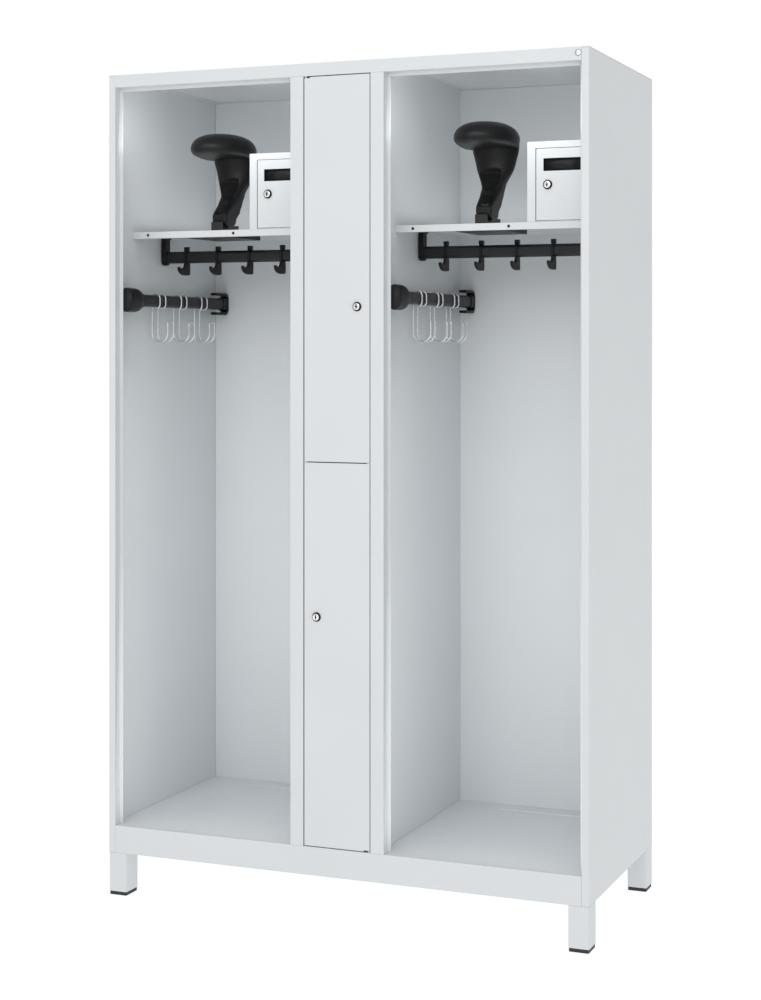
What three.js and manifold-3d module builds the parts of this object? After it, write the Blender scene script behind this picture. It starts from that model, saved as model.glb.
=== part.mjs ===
// Firefighter's gear locker: two open compartments and two lockable doors between them.
// Millimetres, +Z up. The origin is the middle of the footprint on the floor, the front faces -Y.
import * as THREE from 'three';
import { mergeVertices } from 'three/addons/utils/BufferGeometryUtils.js';
import Module from 'manifold-3d';

const wasm = await Module();
wasm.setup();

// ---- Driving dimensions ----
const WIDTH = 1130;
const DEPTH = 500;
const HEIGHT = 1850;
const SHEET = 1.2; // steel sheet
const GAP = 0.3; // clearance between parts that touch
const RAIL_BOTTOM = 95; // the legs end here
const FLOOR_TOP = 156.5;
const HEADER_BOTTOM = 1822.5;
const EDGE = 16; // width of the side panels' front flange
const REVEAL = 20; // depth of the step behind the front plane
const STOP = 8; // flange at the back of the step
const STILE_INNER = 79.5; // half the opening of the doors
const STILE_OUTER = 110;
const WALL = 95; // middle plane of a divider's wall

const DOOR_GAP = 2.3;
const DOOR_DEPTH = 16;
const DOOR_SPLIT = 988;
const HINGE_INSET = { x: 2.65, y: 4 }; // hinge axis from the door's front corner
const HINGE_PIN_RADIUS = 2;

const LEG = { width: 45, depth: 50, wall: 2 };
const CAP_HEIGHT = 8;

const SHELF_TOP = 1501.5;
const SHELF_FRONT = -150;
const SHELF_LIP = 15;

const BOX = { left: 68.7, right: 233.8, back: 150, bottom: SHELF_TOP + GAP, top: 1671.5, frame: 18, frameTop: 14 };
const HOLDER = { x: -75.6, pivotY: -10, pivotZ: 1535, armTop: 1674 };
const RAIL = { y: -15, z: 1448.5, reach: 219, hookPitch: 84 };
const SIDE_RAIL = { x: -204.8, z: 1343.5, hookPitch: 100, firstHookY: -82 };
const TUBE = { height: 28, width: 15, wall: 1.5 }; // oval tube of both rails

// Derived planes
const HALF_WIDTH = WIDTH / 2;
const FRONT = -DEPTH / 2;
const REAR = DEPTH / 2;
const STOP_FRONT = FRONT + REVEAL;
const STOP_BACK = STOP_FRONT + SHEET;
const FLANGE_INNER = HALF_WIDTH - EDGE;
const STOP_INNER = FLANGE_INNER - STOP;
const BACK_PANEL_FRONT = REAR - 3;
const DEEP_END = BACK_PANEL_FRONT - GAP; // where floors, shelves and walls end
const TOP_UNDERSIDE = HEIGHT - SHEET;
const INNER_SIDE = HALF_WIDTH - SHEET;
const WALL_FACE = WALL + SHEET / 2;
const COMPARTMENT_X = (INNER_SIDE + WALL_FACE) / 2;
const COMPARTMENT_HALF = (INNER_SIDE - WALL_FACE) / 2;
const DOOR_HALF = STILE_INNER - DOOR_GAP;

// ---- Materials ----
const lightGrey = new THREE.MeshStandardMaterial({ color: 0xd5dadc, roughness: 0.5, metalness: 0.1 });
const blackTube = new THREE.MeshStandardMaterial({ color: 0x2e2f31, roughness: 0.45, metalness: 0.2 });
const blackPlastic = new THREE.MeshStandardMaterial({ color: 0x202123, roughness: 0.5, metalness: 0 });
const zincWire = new THREE.MeshStandardMaterial({ color: 0xc9cccd, roughness: 0.3, metalness: 0.9 });
const chrome = new THREE.MeshStandardMaterial({ color: 0xdedede, roughness: 0.15, metalness: 1 });

// ---- Shape helpers ----
function block(x, y, z) {
  const geometry = new THREE.BoxGeometry(x[1] - x[0], y[1] - y[0], z[1] - z[0]);
  return geometry.translate((x[0] + x[1]) / 2, (y[0] + y[1]) / 2, (z[0] + z[1]) / 2);
}

// A round bar along one axis: centre holds the two other coordinates, in the order of X, Y, Z.
function bar(axis, centre, radius, [from, to], sides = 24) {
  const geometry = new THREE.CylinderGeometry(radius, radius, to - from, sides);
  const middle = (from + to) / 2;
  if (axis === 'x') return geometry.rotateZ(-Math.PI / 2).translate(middle, centre[0], centre[1]);
  if (axis === 'y') return geometry.translate(centre[0], middle, centre[1]);
  return geometry.rotateX(Math.PI / 2).translate(centre[0], centre[1], middle);
}

// Extrusions of a flat outline: across X the outline is drawn in (y, z), across Y in (x, z).
function extrudeX(shape, [from, to], curveSegments = 12) {
  const options = { depth: to - from, bevelEnabled: false, curveSegments };
  const basis = new THREE.Matrix4().makeBasis(
    new THREE.Vector3(0, 1, 0), new THREE.Vector3(0, 0, 1), new THREE.Vector3(1, 0, 0));
  return new THREE.ExtrudeGeometry(shape, options).applyMatrix4(basis).translate(from, 0, 0);
}

function extrudeY(shape, [from, to], curveSegments = 12) {
  const options = { depth: to - from, bevelEnabled: false, curveSegments };
  return new THREE.ExtrudeGeometry(shape, options).rotateX(Math.PI / 2).translate(0, to, 0);
}

function extrudeZ(shape, [from, to], curveSegments = 12) {
  const options = { depth: to - from, bevelEnabled: false, curveSegments };
  return new THREE.ExtrudeGeometry(shape, options).translate(0, 0, from);
}

function polygon(points) {
  return new THREE.Shape(points.map(([u, v]) => new THREE.Vector2(u, v)));
}

// An outline with straight long sides and round ends, long along v.
function oval(centreU, centreV, width, height) {
  const radius = width / 2;
  const straight = height / 2 - radius;
  const shape = new THREE.Shape();
  shape.absarc(centreU, centreV + straight, radius, 0, Math.PI);
  shape.absarc(centreU, centreV - straight, radius, Math.PI, 2 * Math.PI);
  shape.closePath();
  return shape;
}

function solid(geometry) {
  geometry.deleteAttribute('normal');
  geometry.deleteAttribute('uv');
  const merged = mergeVertices(geometry, 1e-4);
  const vertProperties = new Float32Array(merged.attributes.position.array);
  const triVerts = new Uint32Array(merged.index.array);
  return new wasm.Manifold(new wasm.Mesh({ numProp: 3, vertProperties, triVerts }));
}

function join(...geometries) {
  return geometries.map(solid).reduce((sum, next) => sum.add(next));
}

function cut(body, ...geometries) {
  return geometries.map(solid).reduce((rest, next) => rest.subtract(next), body);
}

function piece(name, shape, material) {
  let geometry = shape;
  if (!shape.isBufferGeometry) {
    const { vertProperties, triVerts } = shape.asOriginal().simplify(0.01).getMesh();
    geometry = new THREE.BufferGeometry();
    geometry.setAttribute('position', new THREE.BufferAttribute(new Float32Array(vertProperties), 3));
    geometry.setIndex(new THREE.BufferAttribute(new Uint32Array(triVerts), 1));
    geometry.computeVertexNormals();
  }
  const mesh = new THREE.Mesh(geometry, material);
  mesh.name = name;
  return mesh;
}

// A span on one side of the middle plane: side is 1 for the right and -1 for the left.
function sided(side, from, to) {
  return side > 0 ? [from, to] : [-to, -from];
}

const SIDES = [['left', -1], ['right', 1]];

// ---- Carcass ----
const VENT = { count: 15, pitch: 15.6, length: 12, width: 3.6, ceilingY: 231, floorY: 198 };

// One row of short slots in each open compartment.
function ventRow(y, z) {
  const slots = [];
  for (const [, side] of SIDES) {
    for (let i = 0; i < VENT.count; i += 1) {
      const x = side * COMPARTMENT_X + (i - (VENT.count - 1) / 2) * VENT.pitch;
      slots.push(block([x - VENT.length / 2, x + VENT.length / 2], [y - VENT.width / 2, y + VENT.width / 2], z));
    }
  }
  return slots;
}

function hingeHole(x, z) {
  return bar('z', [x, FRONT + HINGE_INSET.y], HINGE_PIN_RADIUS + 0.4, z, 16);
}

const HINGE_X = DOOR_HALF - HINGE_INSET.x;

function sidePanel(side) {
  const upright = [RAIL_BOTTOM, TOP_UNDERSIDE - GAP];
  const bottomFlange = [RAIL_BOTTOM, RAIL_BOTTOM + SHEET];
  const topFlange = [upright[1] - SHEET, upright[1]];
  return join(
    block(sided(side, INNER_SIDE, HALF_WIDTH), [FRONT, REAR], upright),
    block(sided(side, FLANGE_INNER, HALF_WIDTH), [FRONT, FRONT + SHEET], upright),
    block(sided(side, FLANGE_INNER, FLANGE_INNER + SHEET), [FRONT, STOP_BACK], upright),
    block(sided(side, STOP_INNER, FLANGE_INNER + SHEET), [STOP_FRONT, STOP_BACK], upright),
    block(sided(side, FLANGE_INNER, HALF_WIDTH), [REAR - SHEET, REAR], upright),
    block(sided(side, STOP_INNER, HALF_WIDTH), [STOP_BACK + GAP, DEEP_END], bottomFlange),
    block(sided(side, FLANGE_INNER, HALF_WIDTH), [STOP_BACK + GAP, DEEP_END], topFlange),
  );
}

function topPanel() {
  const across = [-(FLANGE_INNER - GAP), FLANGE_INNER - GAP];
  const behind = [-(STOP_INNER - GAP), STOP_INNER - GAP];
  const body = join(
    block([-HALF_WIDTH, HALF_WIDTH], [FRONT, REAR], [TOP_UNDERSIDE, HEIGHT]),
    block(across, [FRONT, FRONT + SHEET], [HEADER_BOTTOM, HEIGHT]),
    block(across, [FRONT, STOP_FRONT - GAP], [HEADER_BOTTOM, HEADER_BOTTOM + SHEET]),
    block(behind, [STOP_FRONT - 1, STOP_BACK], [HEADER_BOTTOM, HEADER_BOTTOM + SHEET]),
    block(behind, [STOP_FRONT, STOP_BACK], [HEADER_BOTTOM - STOP, HEADER_BOTTOM + SHEET]),
    block(across, [REAR - SHEET, REAR], [HEIGHT - EDGE, HEIGHT]),
  );
  const through = [TOP_UNDERSIDE - 1, HEIGHT + 1];
  return cut(body, ...ventRow(VENT.ceilingY, through), hingeHole(-HINGE_X, [HEADER_BOTTOM - 1, HEADER_BOTTOM + 3]));
}

function floorPanel() {
  const across = [-(FLANGE_INNER - GAP), FLANGE_INNER - GAP];
  const behind = [-(STOP_INNER - GAP), STOP_INNER - GAP];
  const between = [-(INNER_SIDE - GAP), INNER_SIDE - GAP];
  const sheet = [FLOOR_TOP - SHEET, FLOOR_TOP];
  const body = join(
    block(between, [STOP_BACK + GAP, DEEP_END], sheet),
    block(behind, [STOP_FRONT - 1, STOP_BACK + 1], sheet),
    block(across, [FRONT, STOP_FRONT - GAP], sheet),
    block(across, [FRONT, FRONT + SHEET], [RAIL_BOTTOM, FLOOR_TOP]),
    block(behind, [FRONT, STOP_FRONT - GAP], [RAIL_BOTTOM, RAIL_BOTTOM + SHEET]),
    block(behind, [DEEP_END - SHEET, DEEP_END], [RAIL_BOTTOM, FLOOR_TOP]),
  );
  const through = [FLOOR_TOP - 3, FLOOR_TOP + 1];
  const drains = SIDES.map(([, side]) => bar('z', [side * (STILE_OUTER + 5), FRONT + 10], 2, through, 12));
  return cut(body, ...ventRow(VENT.floorY, through), ...drains, hingeHole(HINGE_X, through));
}

function backPanel() {
  const across = [-(INNER_SIDE - GAP), INNER_SIDE - GAP];
  const upright = [RAIL_BOTTOM + GAP, TOP_UNDERSIDE - GAP];
  return block(across, [BACK_PANEL_FRONT, BACK_PANEL_FRONT + SHEET], upright);
}

// A divider is a hollow front stile with a stop flange on both sides, and a wall to the back.
// The tab between the doors carries a hinge pin: the left one under the upper door.
function divider(side) {
  const stile = [FLOOR_TOP + GAP, HEADER_BOTTOM - GAP];
  const behindHeader = [stile[0], HEADER_BOTTOM - STOP - GAP];
  const wallTop = TOP_UNDERSIDE - GAP;
  const tab = [DOOR_SPLIT - SHEET / 2, DOOR_SPLIT + SHEET / 2];
  const body = join(
    block(sided(side, STILE_INNER, STILE_OUTER), [FRONT, FRONT + SHEET], stile),
    block(sided(side, STILE_INNER, STILE_INNER + SHEET), [FRONT, STOP_FRONT - GAP], stile),
    block(sided(side, STILE_OUTER - SHEET, STILE_OUTER), [FRONT, STOP_FRONT - GAP], stile),
    block(sided(side, STILE_INNER, STILE_INNER + SHEET), [FRONT, STOP_BACK], behindHeader),
    block(sided(side, STILE_OUTER - SHEET, STILE_OUTER), [FRONT, STOP_BACK], behindHeader),
    block(sided(side, STILE_INNER - STOP, STILE_OUTER + STOP), [STOP_FRONT, STOP_BACK], behindHeader),
    block(sided(side, WALL - SHEET / 2, WALL_FACE), [STOP_FRONT, DEEP_END], behindHeader),
    block(sided(side, WALL - SHEET / 2, WALL_FACE), [STOP_BACK + GAP, DEEP_END], [stile[0], wallTop]),
    block(sided(side, WALL, WALL_FACE + STOP), [STOP_BACK + GAP, DEEP_END], [wallTop - SHEET, wallTop]),
    block(sided(side, HINGE_X - 4, STILE_INNER + 0.5), [FRONT + 0.5, STOP_FRONT], tab),
  );
  return cut(body, hingeHole(side * HINGE_X, [tab[0] - 1, tab[1] + 1]));
}

function middleFloor() {
  const across = [-(WALL - SHEET / 2 - GAP), WALL - SHEET / 2 - GAP];
  const front = STOP_BACK + GAP;
  return join(
    block(across, [front, DEEP_END], [DOOR_SPLIT - SHEET / 2, DOOR_SPLIT + SHEET / 2]),
    block(across, [front, front + SHEET], [DOOR_SPLIT - 12, DOOR_SPLIT + 12]),
  );
}

// ---- Legs ----
function roundedRectangle(width, height, radius) {
  const shape = new THREE.Shape();
  const u = width / 2 - radius;
  const v = height / 2 - radius;
  shape.absarc(u, v, radius, 0, Math.PI / 2);
  shape.absarc(-u, v, radius, Math.PI / 2, Math.PI);
  shape.absarc(-u, -v, radius, Math.PI, 1.5 * Math.PI);
  shape.absarc(u, -v, radius, 1.5 * Math.PI, 2 * Math.PI);
  shape.closePath();
  return shape;
}

// A square tube, closed by a plate at its top and open at the foot.
function leg() {
  const body = solid(extrudeZ(roundedRectangle(LEG.width, LEG.depth, 3), [CAP_HEIGHT, RAIL_BOTTOM - GAP], 2));
  const bore = roundedRectangle(LEG.width - 2 * LEG.wall, LEG.depth - 2 * LEG.wall, 1.5);
  return cut(body, extrudeZ(bore, [CAP_HEIGHT - 1, RAIL_BOTTOM - GAP - 3], 1));
}

// The plastic cap has a foot plate and a plug inside the tube.
function footCap() {
  const plate = roundedRectangle(LEG.width - 2, LEG.depth - 2, 3);
  const inset = 2 * (LEG.wall + GAP);
  const plug = roundedRectangle(LEG.width - inset, LEG.depth - inset, 1.5);
  return join(
    extrudeZ(plate, [0, CAP_HEIGHT - GAP], 2),
    extrudeZ(plug, [1, CAP_HEIGHT + 20], 1),
  );
}

function legs() {
  const group = new THREE.Group();
  for (const [across, side] of SIDES) {
    for (const [along, end] of [['front', -1], ['rear', 1]]) {
      const corner = new THREE.Group();
      corner.position.set(side * (HALF_WIDTH - LEG.width / 2), end * (REAR - LEG.depth / 2), 0);
      corner.add(piece(`${along}_${across}_leg`, leg(), lightGrey));
      corner.add(piece(`${along}_${across}_foot_cap`, footCap(), blackPlastic));
      group.add(corner);
    }
  }
  return group;
}

// ---- Doors and locks ----
// A steel pan, open at the back, with round front edges. The outline is drawn in (x, y).
function doorPan([left, right], front, depth, height, edgeRadius) {
  const outline = new THREE.Shape();
  outline.moveTo(right, front + depth);
  outline.lineTo(left, front + depth);
  outline.absarc(left + edgeRadius, front + edgeRadius, edgeRadius, Math.PI, 1.5 * Math.PI);
  outline.absarc(right - edgeRadius, front + edgeRadius, edgeRadius, 1.5 * Math.PI, 2 * Math.PI);
  outline.closePath();
  return cut(
    solid(extrudeZ(outline, height, 4)),
    block([left + SHEET, right - SHEET], [front + SHEET, front + depth + 1], [height[0] + SHEET, height[1] - SHEET]),
  );
}

const DOOR_LOCK = { radius: 7, proud: 4.5, cam: 30, camHalf: 6, camThick: 2.4 };
const BOX_LOCK = { radius: 5.5, proud: 3.5, cam: 34, camHalf: 5, camThick: 2.4 };

// side is the side of the hinge; the notch at the outer end of the hinge edge clears the pin.
function lockerDoor(side, height, outerEnd, lock) {
  const pin = [side * HINGE_X, FRONT + HINGE_INSET.y];
  const outward = outerEnd === 'top' ? 1 : -1;
  const outer = outerEnd === 'top' ? height[1] : height[0];
  const inner = outerEnd === 'top' ? height[0] : height[1];
  const span = (near, far) => [Math.min(near, far), Math.max(near, far)];
  const notch = span(outer - outward * 2.5, outer + outward);
  const lug = span(outer - outward * 2.5, outer - outward * 10);
  const notched = cut(
    doorPan([-DOOR_HALF, DOOR_HALF], FRONT, DOOR_DEPTH, height, 2),
    block(sided(side, DOOR_HALF - 14, DOOR_HALF + 1), [FRONT - 1, FRONT + 12], notch),
  );
  const hinge = join(
    block(sided(side, DOOR_HALF - 12, DOOR_HALF - 0.6), [FRONT + 1, FRONT + 8], lug),
    bar('z', pin, HINGE_PIN_RADIUS, span(outer - outward * 9, outer + outward * 5), 16),
    block(sided(side, DOOR_HALF - 12, DOOR_HALF - 0.6), [FRONT + 1, FRONT + 8], span(inner, inner + outward * 8)),
    bar('z', pin, HINGE_PIN_RADIUS, span(inner + outward * 2, inner - outward * (DOOR_GAP - GAP)), 16),
  );
  const lockHole = bar('y', [lock.x, lock.z], DOOR_LOCK.radius + 0.5, [FRONT - 1, FRONT + 5]);
  return cut(notched.add(hinge), lockHole);
}

// The turning plug of a cam lock with its keyway and cam. At rest the cam hangs down, unlocked.
function lockPlug(size, front, camBack) {
  const body = join(
    bar('y', [0, 0], size.radius, [front - size.proud, camBack]),
    block([-size.camHalf, size.camHalf], [camBack - size.camThick, camBack], [-size.cam, size.camHalf]),
  );
  const depth = [front - size.proud - 1, front - size.proud + 3];
  return cut(
    body,
    block([-0.8, 0.8], depth, [-4, 4]),
    bar('y', [0, 1.5], 1.5, depth, 12),
  );
}

function doors() {
  const group = new THREE.Group();
  const upperLock = { x: 48.2, z: 1323 };
  const lowerLock = { x: -47.4, z: 654 };
  const halfSplit = DOOR_GAP / 2;
  const upper = [DOOR_SPLIT + halfSplit, HEADER_BOTTOM - DOOR_GAP];
  const lower = [FLOOR_TOP + DOOR_GAP, DOOR_SPLIT - halfSplit];
  group.add(piece('upper_door', lockerDoor(-1, upper, 'top', upperLock), lightGrey));
  group.add(piece('lower_door', lockerDoor(1, lower, 'bottom', lowerLock), lightGrey));
  for (const [name, lock] of [['upper_door_lock', upperLock], ['lower_door_lock', lowerLock]]) {
    const plug = piece(name, lockPlug(DOOR_LOCK, FRONT, STOP_BACK + 0.6 + DOOR_LOCK.camThick), chrome);
    plug.position.set(lock.x, 0, lock.z);
    group.add(plug);
  }
  return group;
}

// ---- Shelf ----
function shelf() {
  const half = COMPARTMENT_HALF - GAP;
  const lip = [SHELF_TOP - SHELF_LIP, SHELF_TOP];
  const body = join(
    block([-half, half], [SHELF_FRONT, DEEP_END], [SHELF_TOP - SHEET, SHELF_TOP]),
    block([-half, half], [SHELF_FRONT, SHELF_FRONT + SHEET], lip),
    block([-half, half], [SHELF_FRONT, SHELF_FRONT + 10], [lip[0], lip[0] + SHEET]),
    block([-half, half], [DEEP_END - SHEET, DEEP_END], lip),
    block([-half, -half + SHEET], [SHELF_FRONT, DEEP_END], lip),
    block([half - SHEET, half], [SHELF_FRONT, DEEP_END], lip),
  );
  const lipHoles = [-193.5, 27].map((x) =>
    bar('y', [x, SHELF_TOP - SHELF_LIP / 2], 1.5, [SHELF_FRONT - 1, SHELF_FRONT + 3], 12));
  return cut(body, ...lipHoles);
}

// ---- Valuables box ----
const BOX_DOOR_DEPTH = 12;
const BOX_DOOR_GAP = 1.6;
const BOX_PIN = { x: BOX.right - BOX.frame - BOX_DOOR_GAP - 2.7, y: SHELF_FRONT + 3.2, radius: 1.5 };
const BOX_RETURN = SHELF_FRONT + 13; // the frame's edges are folded back this far
const BOX_OPENING_TOP = BOX.top - BOX.frameTop;
const BOX_LOCK_PLACE = { x: BOX.left + 45.5, z: 1579.7 };

function valuablesBox() {
  const outer = { x: [BOX.left, BOX.right], y: [SHELF_FRONT, BOX.back], z: [BOX.bottom, BOX.top] };
  const opening = [BOX.left + BOX.frame, BOX.right - BOX.frame];
  const front = [SHELF_FRONT, SHELF_FRONT + SHEET];
  const folded = [SHELF_FRONT, BOX_RETURN];
  const body = join(
    block([BOX.left, BOX.left + SHEET], outer.y, outer.z),
    block([BOX.right - SHEET, BOX.right], outer.y, outer.z),
    block(outer.x, outer.y, [BOX.bottom, BOX.bottom + SHEET]),
    block(outer.x, outer.y, [BOX.top - SHEET, BOX.top]),
    block(outer.x, [BOX.back - SHEET, BOX.back], outer.z),
    block([BOX.left, opening[0]], front, outer.z),
    block([opening[1], BOX.right], front, outer.z),
    block(outer.x, front, [BOX_OPENING_TOP, BOX.top]),
    block([opening[0] - SHEET, opening[0]], folded, outer.z),
    block([opening[1], opening[1] + SHEET], folded, outer.z),
    block(outer.x, folded, [BOX_OPENING_TOP, BOX_OPENING_TOP + SHEET]),
  );
  const pinHole = (z) => bar('z', [BOX_PIN.x, BOX_PIN.y], BOX_PIN.radius + 0.4, z, 16);
  return cut(
    body,
    pinHole([BOX.bottom - 1, BOX.bottom + SHEET + 1]),
    pinHole([BOX_OPENING_TOP - 1, BOX_OPENING_TOP + SHEET + 1]),
  );
}

function valuablesDoor() {
  const across = [BOX.left + BOX.frame + BOX_DOOR_GAP, BOX.right - BOX.frame - BOX_DOOR_GAP];
  const height = [BOX.bottom + SHEET + 1.4, BOX_OPENING_TOP - 1.2];
  const pin = [BOX_PIN.x, BOX_PIN.y];
  const hinge = join(
    bar('z', pin, BOX_PIN.radius, [height[0] - 2.3, height[0] + 6], 16),
    block([BOX_PIN.x - 6, across[1] - 0.6], [SHELF_FRONT + 1, SHELF_FRONT + 6], [height[0], height[0] + 6]),
    bar('z', pin, BOX_PIN.radius, [height[1] - 6, height[1] + 2.8], 16),
    block([BOX_PIN.x - 6, across[1] - 0.6], [SHELF_FRONT + 1, SHELF_FRONT + 6], [height[1] - 6, height[1]]),
  );
  const through = [SHELF_FRONT - 1, SHELF_FRONT + 5];
  return cut(
    doorPan(across, SHELF_FRONT, BOX_DOOR_DEPTH, height, 1.6).add(hinge),
    block([BOX.left + 36, BOX.right - 36], through, [1608.5, 1635.5]),
    bar('y', [BOX_LOCK_PLACE.x, BOX_LOCK_PLACE.z], BOX_LOCK.radius + 0.5, through),
  );
}

// ---- Helmet holder ----
// A channel under the shelf carries a foot on the shelf. The arm is a fork on the foot's pin.
const FOOT = {
  half: 17.5, front: -33, back: 38, top: 1513, wallTop: 1530, knuckleHalf: 8.8, knuckleRadius: 17, pinRadius: 4,
};
const FORK = { gap: 9.3, height: 21, cheekRadius: 18 };
const ARM = { flareStart: 1600, topY: 56, topHalfWidth: 53, topHalfDepth: 38, recessHalf: 24 };
const PAD = { halfWidth: 70, halfDepth: 98, y: -3, sides: 24 };

function holderChannel() {
  const x = [-100, 15];
  const y = [SHELF_FRONT + 15, 7];
  const z = [SHELF_TOP - SHELF_LIP - 0.5, SHELF_TOP - SHEET - GAP];
  const wall = 1.5;
  return cut(
    solid(block(x, y, z)),
    block([x[0] + wall, x[1] - wall], [y[0] + wall, y[1] - wall], [z[0] + wall, z[1] + 1]),
  );
}

// The foot's front wall stands up before the fork's cheeks.
function holderFoot() {
  const { half, front, back, top, wallTop, knuckleHalf, knuckleRadius, pinRadius } = FOOT;
  const pivot = [HOLDER.pivotY, HOLDER.pivotZ];
  const knuckle = [-knuckleHalf, knuckleHalf];
  const wallBack = pivot[0] - FORK.cheekRadius - 2 * GAP;
  return join(
    block([-half, half], [front, back], [SHELF_TOP + GAP, top]),
    block([-half, half], [front, wallBack], [top - 1, wallTop]),
    block(knuckle, [wallBack - 1, pivot[0] + knuckleRadius], [top - 1, pivot[1]]),
    bar('x', pivot, knuckleRadius, knuckle),
    bar('x', pivot, pinRadius, [-half - 1.3, half + 1.3], 16),
  );
}

// The arm's side outline sweeps back as it rises, and its front outline flares to the pad.
function armBody() {
  const { pivotY, pivotZ, armTop } = HOLDER;
  const points = (list) => list.map(([u, v]) => new THREE.Vector2(u, v));
  const side = new THREE.Shape();
  side.moveTo(pivotY, pivotZ - FORK.cheekRadius);
  side.splineThru(points([[10, 1520], [27, 1532], [44, 1552], [54, 1571], [67, 1594], [76, 1616], [85, 1640],
    [94, armTop]]));
  side.lineTo(19, armTop);
  side.splineThru(points([[22, 1645], [18, 1610], [12, 1593], [-2, 1571], [-24, 1551]]));
  side.lineTo(pivotY - FORK.cheekRadius, pivotZ + 8);
  side.absarc(pivotY, pivotZ, FORK.cheekRadius, Math.PI, 1.5 * Math.PI);

  const flare = [[18.8, 1505], [19.7, 1552], [22, 1575], [24, 1594], [31.5, 1615], [41, 1632], [48, 1653],
    [ARM.topHalfWidth, armTop]];
  const front = polygon([...flare, ...flare.map(([u, v]) => [-u, v]).reverse()]);

  // Above the start of the flare the corners follow the pad's oval.
  const straight = block([-60, 60], [-60, 120], [1490, ARM.flareStart + 0.5]);
  const round = bar('z', [0, 0], ARM.topHalfWidth, [ARM.flareStart, armTop + 1], 40);
  round.scale(1, ARM.topHalfDepth / ARM.topHalfWidth, 1).translate(0, ARM.topY, 0);

  return solid(extrudeX(side, [-60, 60], 5))
    .intersect(solid(extrudeY(front, [-60, 120])))
    .intersect(join(straight, round));
}

// The arm is hollow under the pad, has a shallow recess in its front face and ends in a fork.
function holderArm() {
  const { pivotY, pivotZ, armTop } = HOLDER;
  const hollowSide = polygon([[32, 1598], [58, 1598], [76, 1640], [86, armTop + 1], [31, armTop + 1]]);
  const half = [[12, 1598], [34, 1646], [38, 1658], [38, armTop + 1]];
  const hollowFront = polygon([...half, ...half.map(([u, v]) => [-u, v]).reverse()]);
  const hollow = solid(extrudeX(hollowSide, [-60, 60])).intersect(solid(extrudeY(hollowFront, [0, 120])));
  const recess = polygon([[0, 1634], [26, 1634], [21, 1610], [12.5, 1594], [0, 1594]]);
  return cut(
    armBody().subtract(hollow),
    extrudeX(recess, [-ARM.recessHalf, ARM.recessHalf]),
    block([-FORK.gap, FORK.gap], [-60, 80], [1490, pivotZ + FORK.height]),
    bar('x', [pivotY, pivotZ], FOOT.pinRadius + 0.4, [-60, 60], 16),
  );
}

// The pad is an oval mushroom cap: a turned shell on a unit circle, stretched to its two half axes.
// Its underside is open in the middle, over the hollow of the arm.
function holderPad() {
  const bottom = HOLDER.armTop + GAP;
  const outside = [[0.35, 0], [0.78, 0], [0.93, 7], [1, 23], [0.97, 35], [0.84, 48], [0.56, 58], [0, 62.5]];
  const inside = [[0, 58.5], [0.54, 54], [0.8, 45], [0.92, 33], [0.94, 23], [0.88, 10], [0.76, 4], [0.35, 4]];
  const profile = [...outside, ...inside, outside[0]].map(([r, z]) => new THREE.Vector2(r, bottom + z));
  const cap = new THREE.LatheGeometry(profile, PAD.sides).rotateX(Math.PI / 2);
  return solid(cap.scale(PAD.halfWidth, PAD.halfDepth, 1));
}

// ---- Hook rail under the shelf ----
function hookRail() {
  const { y, z, reach } = RAIL;
  const tube = extrudeX(oval(y, z, TUBE.width, TUBE.height), [-reach - 4, reach + 4], 6);
  const bore = oval(y, z, TUBE.width - 2 * TUBE.wall, TUBE.height - 2 * TUBE.wall);
  const top = SHELF_TOP - SHEET - GAP;
  const brackets = [];
  for (const side of [-1, 1]) {
    const strap = new THREE.Shape();
    strap.absarc(y, z - 8, 10.5, Math.PI, 2 * Math.PI);
    strap.lineTo(y + 10.5, top);
    strap.lineTo(y - 10.5, top);
    strap.closePath();
    brackets.push(extrudeX(strap, sided(side, reach, reach + 12), 8));
    const gusset = polygon([[side * (reach + 1), top], [side * (reach - 9), top], [side * (reach + 1), top - 12]]);
    brackets.push(extrudeY(gusset, [y - 10.5, y + 10.5]));
  }
  return cut(join(tube, ...brackets), extrudeX(bore, [-reach - 20, reach + 20], 6));
}

// A thin moulded hook: a loop round the tube with a knob on top, and a prong that points to the front.
function slidingHook() {
  const { y, z } = RAIL;
  const half = 3;
  const knobHalf = 5;
  const outline = new THREE.Shape();
  outline.moveTo(y + 10.5, z + 8);
  outline.absarc(y, z + 8, 10.5, 0, Math.PI);
  outline.lineTo(y - 10.5, z - 16);
  outline.quadraticCurveTo(y - 11, z - 31, y - 21, z - 31);
  outline.quadraticCurveTo(y - 29, z - 30.5, y - 33, z - 22);
  outline.lineTo(y - 37.5, z - 22.5);
  outline.quadraticCurveTo(y - 35, z - 37, y - 20, z - 41);
  outline.quadraticCurveTo(y - 4, z - 43, y + 10.5, z - 41.5);
  outline.closePath();
  return cut(
    join(
      extrudeX(outline, [-half, half], 4),
      bar('x', [y, z + 19.8], 5, [-knobHalf, knobHalf], 12),
    ),
    extrudeX(oval(y, z, TUBE.width + 4 * GAP, TUBE.height + 4 * GAP), [-knobHalf - 1, knobHalf + 1], 4),
    bar('x', [y, z - 25.5], 3.5, [-half - 1, half + 1], 8),
  );
}

// ---- Side rail with wire hooks ----
function sideRail() {
  const { x, z } = SIDE_RAIL;
  const length = [STOP_BACK + 6, DEEP_END - 10];
  const section = oval(x, z, TUBE.width, TUBE.height);
  const bore = oval(x, z, TUBE.width - 2 * TUBE.wall, TUBE.height - 2 * TUBE.wall);
  return cut(solid(extrudeY(section, length, 6)), extrudeY(bore, [length[0] - 1, length[1] + 1], 6));
}

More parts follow.
